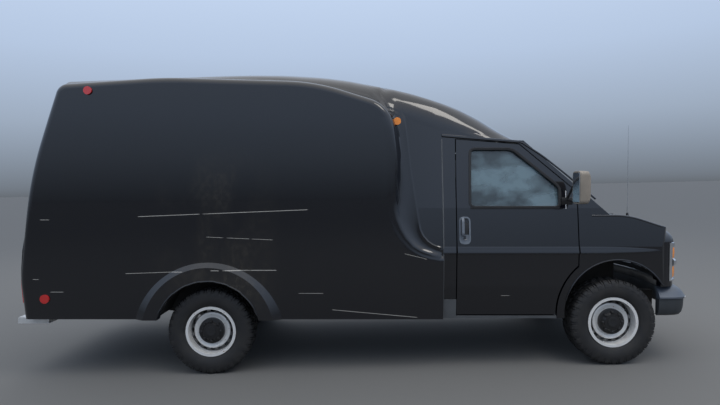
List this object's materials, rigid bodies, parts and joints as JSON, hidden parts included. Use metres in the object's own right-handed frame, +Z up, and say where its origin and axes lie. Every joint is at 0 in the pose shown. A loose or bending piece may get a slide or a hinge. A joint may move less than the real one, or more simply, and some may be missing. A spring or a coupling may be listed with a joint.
{
  "type": "camper van",
  "caption": "Black high-roof camper van: moulded body with side flutes on a cutaway van cab and ladder frame, with opening doors and hood, steered and rolling wheels.",
  "frame": {"origin": "centre of the bounding box, on the floor under the tyres", "axes": "+X towards the front of the van, +Y to its left, +Z up"},
  "size_m": [6.0973, 2.55, 2.6967],
  "materials": {
    "black_paint": "glossy, a little dull with age",
    "grey_plastic": "grained",
    "tan_plastic": "satin",
    "bumper_paint": "satin",
    "wheel_silver": "satin with a few rust specks",
    "tyre": "matt",
    "glass": "clear with a blue cast",
    "frame_black": "matt",
    "engine_iron": "rough",
    "exhaust_steel": "dull",
    "step_aluminium": "satin",
    "red_lens": "glossy",
    "amber_lens": "glossy",
    "clear_lens": "glossy",
    "tank_plastic": "matt",
    "cabin_plastic": "grained",
    "seat_fabric": "woven"
  },
  "bodies": {
    "van": {"body_shell": "black_paint", "body_floor": "frame_black", "cab_shell": "black_paint", "windshield": "glass", "headlamps": "clear_lens", "grille": "grey_plastic", "front_bumper": "bumper_paint", "ladder_frame": "frame_black", "engine_block": "engine_iron", "rear_axle": "frame_black", "driveshaft": "exhaust_steel", "leaf_springs": "frame_black", "front_suspension": "frame_black", "fuel_tank": "tank_plastic", "exhaust": "exhaust_steel", "rear_bumper": "step_aluminium", "dashboard": "cabin_plastic", "seats": "seat_fabric", "rocker_guards": "grey_plastic", "red_lamps": "red_lens", "amber_lamps": "amber_lens", "fender_right": "black_paint", "fender_left": "black_paint"},
    "hood": {"hood": "black_paint"},
    "steering_wheel": {"steering_wheel": "cabin_plastic"},
    "door_right": {"front_door_right": "black_paint", "door_glass_right": "glass", "mirror_right": "tan_plastic"},
    "tail_door_right": {"rear_door_right": "black_paint", "rear_glass_right": "glass"},
    "knuckle_right": {"knuckle_right": "engine_iron"},
    "door_left": {"front_door_left": "black_paint", "door_glass_left": "glass", "mirror_left": "tan_plastic"},
    "tail_door_left": {"rear_door_left": "black_paint", "rear_glass_left": "glass"},
    "knuckle_left": {"knuckle_left": "engine_iron"},
    "wheel_front_right": {"tyre_front_right": "tyre", "rim_front_right": "wheel_silver"},
    "wheel_front_left": {"tyre_front_left": "tyre", "rim_front_left": "wheel_silver"},
    "wheel_rear_right": {"tyre_rear_right": "tyre", "rim_rear_right": "wheel_silver"},
    "wheel_rear_left": {"tyre_rear_left": "tyre", "rim_rear_left": "wheel_silver"}
  },
  "joints": [
    {"name": "door_right_hinge", "type": "hinge", "parent": "van", "child": "door_right", "pos_m": [1.84272, -0.988, 1.00877], "axis": [0.0232, 0, 0.9997], "range_deg": [0, 65]},
    {"name": "tail_door_right_hinge", "type": "hinge", "parent": "van", "child": "tail_door_right", "pos_m": [-2.95231, -0.876, 1.0201], "axis": [0.1676, 0, 0.9858], "range_deg": [0, 95]},
    {"name": "steer_right", "type": "hinge", "parent": "van", "child": "knuckle_right", "pos_m": [2.21311, -0.742, 0.375], "axis": [0.0232, 0, 0.9997], "range_deg": [-32, 32]},
    {"name": "door_left_hinge", "type": "hinge", "parent": "van", "child": "door_left", "pos_m": [1.84272, 0.988, 1.00877], "axis": [-0.0232, 0, -0.9997], "range_deg": [0, 65]},
    {"name": "tail_door_left_hinge", "type": "hinge", "parent": "van", "child": "tail_door_left", "pos_m": [-2.95231, 0.876, 1.0201], "axis": [-0.1676, 0, -0.9858], "range_deg": [0, 95]},
    {"name": "steer_left", "type": "hinge", "parent": "van", "child": "knuckle_left", "pos_m": [2.21311, 0.742, 0.375], "axis": [0.0232, 0, 0.9997], "range_deg": [-32, 32]},
    {"name": "hood_hinge", "type": "hinge", "parent": "van", "child": "hood", "pos_m": [2.35962, 0, 1.29985], "axis": [0, -1, 0], "range_deg": [0, 50]},
    {"name": "steering_wheel_turn", "type": "hinge", "parent": "van", "child": "steering_wheel", "pos_m": [1.51955, 0.43, 1.30635], "axis": [-0.8687, 0, 0.4953], "range_deg": [-480, 480]},
    {"name": "wheel_front_right_spin", "type": "hinge", "parent": "knuckle_right", "child": "wheel_front_right", "pos_m": [2.21311, -0.864, 0.375], "axis": [0, 1, 0], "continuous": true},
    {"name": "wheel_front_left_spin", "type": "hinge", "parent": "knuckle_left", "child": "wheel_front_left", "pos_m": [2.21311, 0.864, 0.375], "axis": [0, 1, 0], "continuous": true},
    {"name": "wheel_rear_right_spin", "type": "hinge", "parent": "van", "child": "wheel_rear_right", "pos_m": [-1.31884, -0.864, 0.375], "axis": [0, 1, 0], "continuous": true},
    {"name": "wheel_rear_left_spin", "type": "hinge", "parent": "van", "child": "wheel_rear_left", "pos_m": [-1.31884, 0.864, 0.375], "axis": [0, 1, 0], "continuous": true}
  ],
  "couplings": [
    {"joint": "steer_left", "follows": "steer_right", "ratio": 1},
    {"joint": "steering_wheel_turn", "follows": "steer_right", "ratio": 15}
  ]
}
